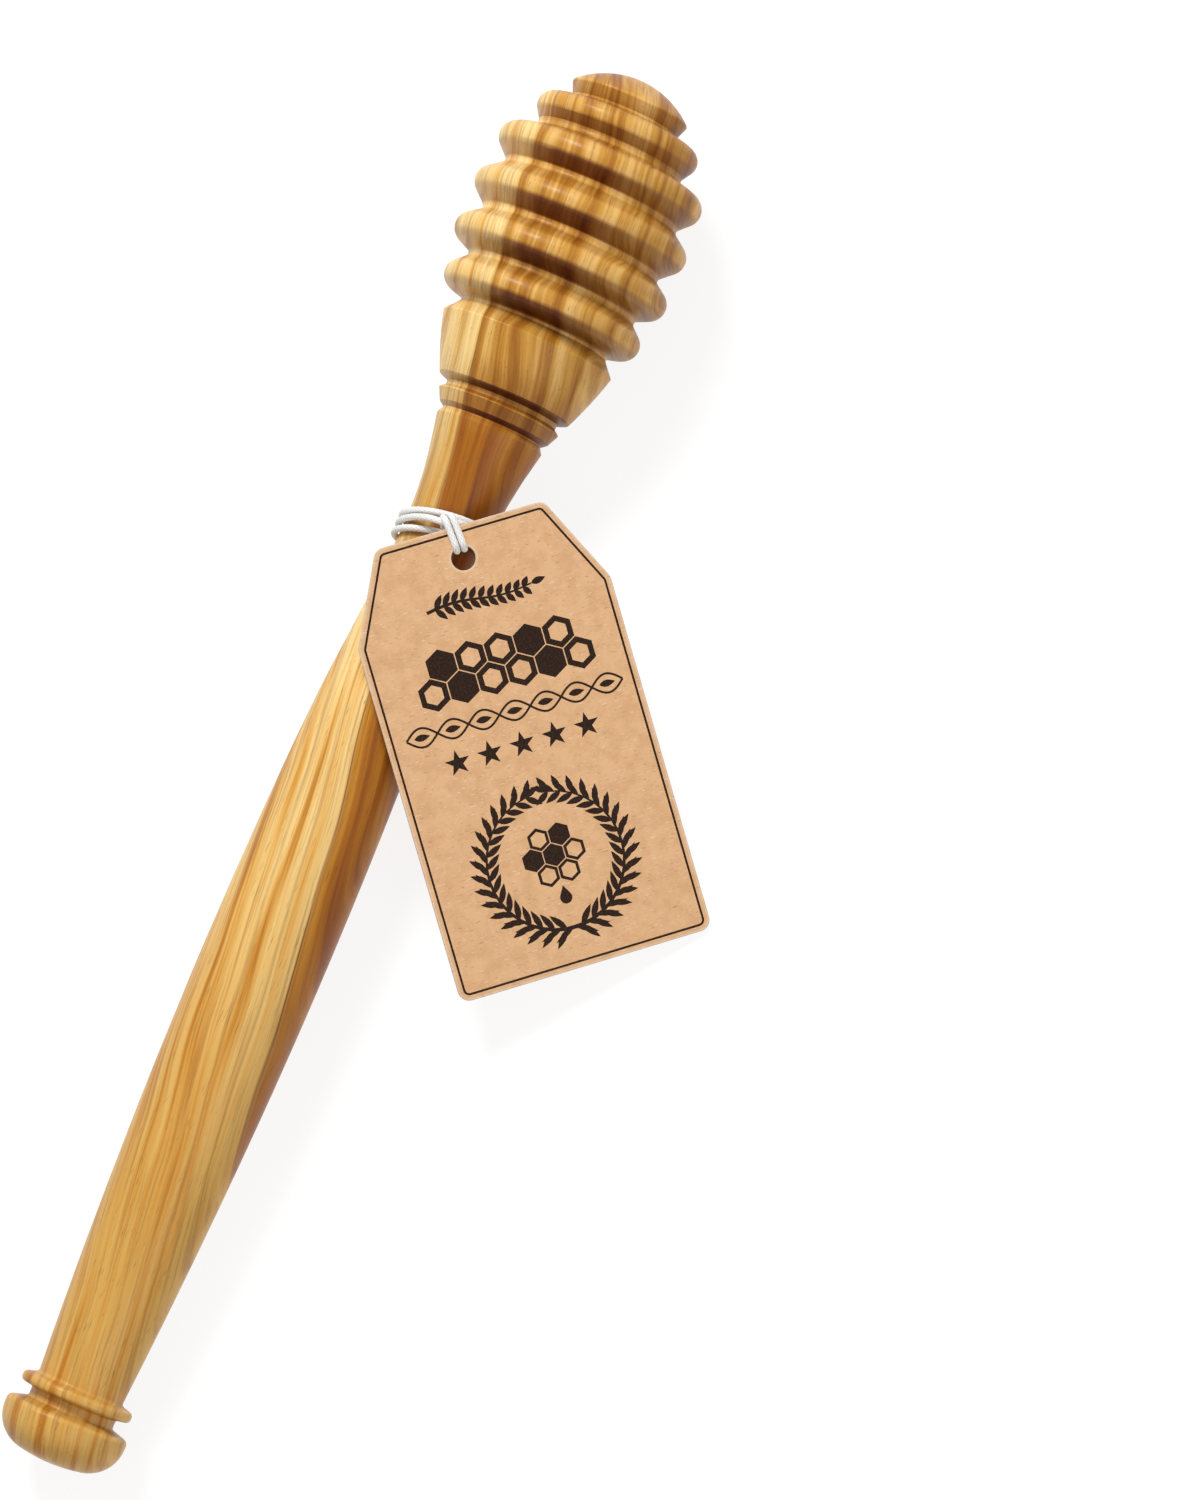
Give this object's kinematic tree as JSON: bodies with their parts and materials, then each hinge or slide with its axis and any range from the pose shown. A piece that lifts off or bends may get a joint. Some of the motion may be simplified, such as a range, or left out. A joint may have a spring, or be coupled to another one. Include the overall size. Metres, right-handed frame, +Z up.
{
  "type": "honey dipper",
  "caption": "Turned olive-wood honey dipper with a ribbed head, and a card tag held to its neck by a thin elastic cord.",
  "frame": {"origin": "on the table, at the middle of the dipper's length and on its middle plane", "axes": "+X from the pommel to the ribbed head, +Y to the side away from the tag, +Z up; the dipper lies on its pommel and its widest rib, so its own axis climbs 2.3 degrees towards the head"},
  "size_m": [0.1798, 0.0598, 0.0277],
  "materials": {
    "olive_wood": "satin, oiled",
    "elastic": "matt",
    "kraft_card": "matt kraft card, printed"
  },
  "bodies": {
    "dipper": {"wooden_dipper": "olive_wood"},
    "neck_elastic": {"neck_wraps": "elastic", "elastic_knot": "elastic"},
    "tag_strands": {"tag_loop": "elastic"},
    "tag": {"hang_tag": "kraft_card"}
  },
  "joints": [
    {"name": "loop_turn", "type": "hinge", "parent": "dipper", "child": "neck_elastic", "pos_m": [0.03137, 0, 0.01235], "axis": [-0.9992, 0, -0.04], "continuous": true},
    {"name": "tag_lift", "type": "hinge", "parent": "neck_elastic", "child": "tag_strands", "pos_m": [0.03106, -0.00157, 0.02014], "axis": [-0.6498, 0.7226, 0.2359], "range_deg": [0, 90]},
    {"name": "tag_swing", "type": "hinge", "parent": "tag_strands", "child": "tag", "pos_m": [0.02767, -0.00488, 0.01861], "axis": [-0.0666, -0.3633, 0.9293], "range_deg": [-2, 8]}
  ]
}
